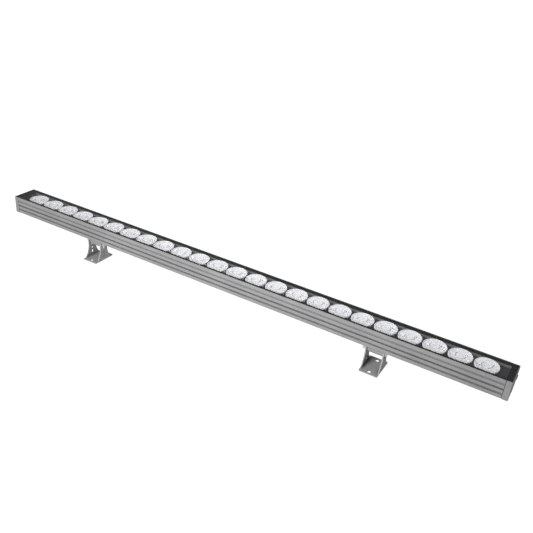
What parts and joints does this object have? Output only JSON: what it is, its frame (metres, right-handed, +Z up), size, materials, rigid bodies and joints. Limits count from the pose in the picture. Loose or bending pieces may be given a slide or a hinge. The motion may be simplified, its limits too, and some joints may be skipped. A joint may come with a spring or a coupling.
{
  "type": "outdoor wall washer light",
  "caption": "Linear LED wall washer: a grooved aluminium bar with a row of round optics under flat glass, on tilting and sliding feet.",
  "frame": {"origin": "on the plane that the feet stand on, below the middle of the bar", "axes": "+X along the bar with the vented end cap at +X, +Y across the bar, +Z up, the way the light leaves"},
  "size_m": [1.002, 0.05, 0.0835],
  "materials": {
    "housing": "satin grey anodised extrusion",
    "end_cap": "die-cast aluminium, satin grey coat",
    "gasket": "matt black silicone sheet",
    "end_screw": "stainless socket screws",
    "vent_plug": "black moulded vent",
    "glass": "clear toughened glass",
    "glass_border": "black enamel print on the underside of the glass",
    "glass_bed": "black silicone bead",
    "lens_plate": "dark grey satin coated plate",
    "optic": "clear moulded acrylic optic with a frosted look",
    "board": "white solder mask on aluminium-backed board",
    "leds": "white ceramic package with yellow phosphor",
    "regulators": "black moulded chips",
    "board_bridge": "ivory plug bridge",
    "board_screw": "zinc plated",
    "terminal_block": "green moulded terminal block",
    "gland": "black nylon",
    "gland_insert": "black rubber insert",
    "saddle": "satin anodised",
    "steel_nut": "zinc plated slot nuts",
    "steel_hardware": "stainless steel",
    "foot": "grey coated folded steel sheet"
  },
  "bodies": {
    "light_bar": {"housing": "housing", "end_cap_left": "end_cap", "end_cap_right": "end_cap", "gasket_left": "gasket", "gasket_right": "gasket", "end_screws": "end_screw", "vent_plug": "vent_plug", "glass": "glass", "glass_border": "glass_border", "glass_bed": "glass_bed", "lens_plate": "lens_plate", "board_left": "board", "board_right": "board", "leds": "leds", "regulators": "regulators", "board_bridge": "board_bridge", "board_screws": "board_screw", "terminal_block": "terminal_block", "gland_body": "gland", "gland_insert": "gland_insert", "gland_cap": "gland", "gland_nut": "gland", "lens_01": "optic", "lens_02": "optic", "lens_03": "optic", "lens_04": "optic", "lens_05": "optic", "lens_06": "optic", "lens_07": "optic", "lens_08": "optic", "lens_09": "optic", "lens_10": "optic", "lens_11": "optic", "lens_12": "optic", "lens_13": "optic", "lens_14": "optic", "lens_15": "optic", "lens_16": "optic", "lens_17": "optic", "lens_18": "optic", "lens_19": "optic", "lens_20": "optic", "lens_21": "optic", "lens_22": "optic", "lens_23": "optic", "lens_24": "optic"},
    "left_carriage": {"saddle_left": "saddle", "slot_nuts_left": "steel_nut", "saddle_screws_left": "steel_hardware"},
    "left_foot": {"foot_left": "foot", "pivot_bolt_left": "steel_hardware", "pivot_nut_left": "steel_hardware", "pivot_washer_left": "steel_hardware"},
    "right_carriage": {"saddle_right": "saddle", "slot_nuts_right": "steel_nut", "saddle_screws_right": "steel_hardware"},
    "right_foot": {"foot_right": "foot", "pivot_bolt_right": "steel_hardware", "pivot_nut_right": "steel_hardware", "pivot_washer_right": "steel_hardware"}
  },
  "joints": [
    {"name": "left_carriage_slide", "type": "slide", "parent": "light_bar", "child": "left_carriage", "axis": [1, 0, 0], "range_m": [-0.13, 0.26]},
    {"name": "left_foot_tilt", "type": "hinge", "parent": "left_carriage", "child": "left_foot", "pos_m": [-0.303, 0, 0.034], "axis": [1, 0, 0], "range_deg": [-90, 90]},
    {"name": "right_carriage_slide", "type": "slide", "parent": "light_bar", "child": "right_carriage", "axis": [1, 0, 0], "range_m": [-0.25, 0.155]},
    {"name": "right_foot_tilt", "type": "hinge", "parent": "right_carriage", "child": "right_foot", "pos_m": [0.29, 0, 0.034], "axis": [1, 0, 0], "range_deg": [-90, 90]}
  ]
}
